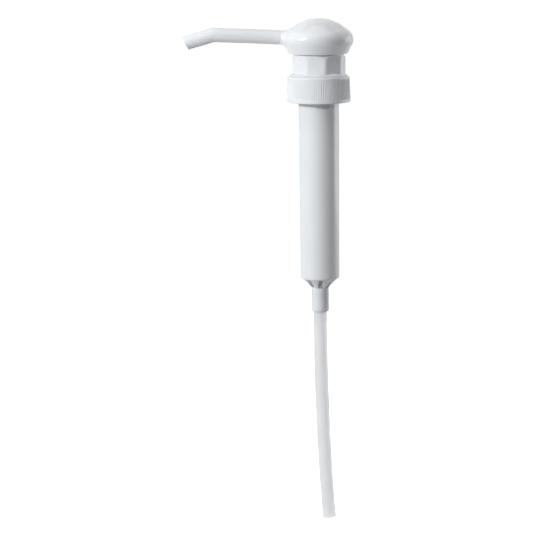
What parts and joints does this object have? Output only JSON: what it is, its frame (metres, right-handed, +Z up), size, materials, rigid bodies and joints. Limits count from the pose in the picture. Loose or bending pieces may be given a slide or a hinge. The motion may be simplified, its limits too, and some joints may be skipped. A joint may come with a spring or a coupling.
{
  "type": "condiment pump dispenser",
  "caption": "Screw-on jug pump with a domed press knob, long side spout, faceted lock collar, ribbed closure, piston cylinder and dip tube.",
  "frame": {"origin": "on the pump's axis, at the underside of the neck gasket, where the rim of the jug meets it", "axes": "+Z up along the pump's axis, -X along the spout; the dip tube bows towards +X"},
  "size_m": [0.1124, 0.046, 0.336],
  "materials": {
    "gloss_white": "glossy moulded polypropylene",
    "tube_natural": "natural translucent polyethylene, satin",
    "inner_white": "semi-gloss moulded polypropylene",
    "seal_grey": "soft food-grade rubber",
    "gasket_foam": "closed-cell polyethylene foam",
    "ball_white": "ground plastic ball",
    "spring_steel": "drawn stainless spring wire"
  },
  "bodies": {
    "housing": {"cylinder": "gloss_white", "locking_collar": "gloss_white", "gland_bushing": "inner_white", "stem_wiper_seal": "seal_grey", "gland_o_ring": "seal_grey", "neck_gasket": "gasket_foam", "inlet_valve_cage": "inner_white", "dip_tube": "tube_natural", "return_spring": "spring_steel"},
    "closure": {"closure_cap": "gloss_white"},
    "spring_carrier": {"spring_seat": "inner_white"},
    "plunger": {"knob": "gloss_white", "head_core": "inner_white", "spout_tube": "gloss_white", "stem": "inner_white", "piston_body": "inner_white", "piston_cup_seal": "seal_grey", "ball_stop": "inner_white"},
    "outlet_ball": {"discharge_ball": "ball_white"},
    "intake_ball": {"inlet_ball": "ball_white"}
  },
  "joints": [
    {"name": "closure_turn", "type": "hinge", "parent": "housing", "child": "closure", "pos_m": [0, 0, 0.005], "axis": [0, 0, 1], "continuous": true},
    {"name": "plunger_slide", "type": "slide", "parent": "housing", "child": "spring_carrier", "axis": [0, 0, 1], "range_m": [0, 0.065], "deforming": ["return_spring"]},
    {"name": "plunger_turn", "type": "hinge", "parent": "spring_carrier", "child": "plunger", "pos_m": [0, 0, 0.0192], "axis": [0, 0, 1], "continuous": true},
    {"name": "outlet_ball_lift", "type": "slide", "parent": "plunger", "child": "outlet_ball", "axis": [0, 0, 1], "range_m": [0, 0.003]},
    {"name": "intake_ball_lift", "type": "slide", "parent": "housing", "child": "intake_ball", "axis": [0, 0, 1], "range_m": [0, 0.003]}
  ]
}
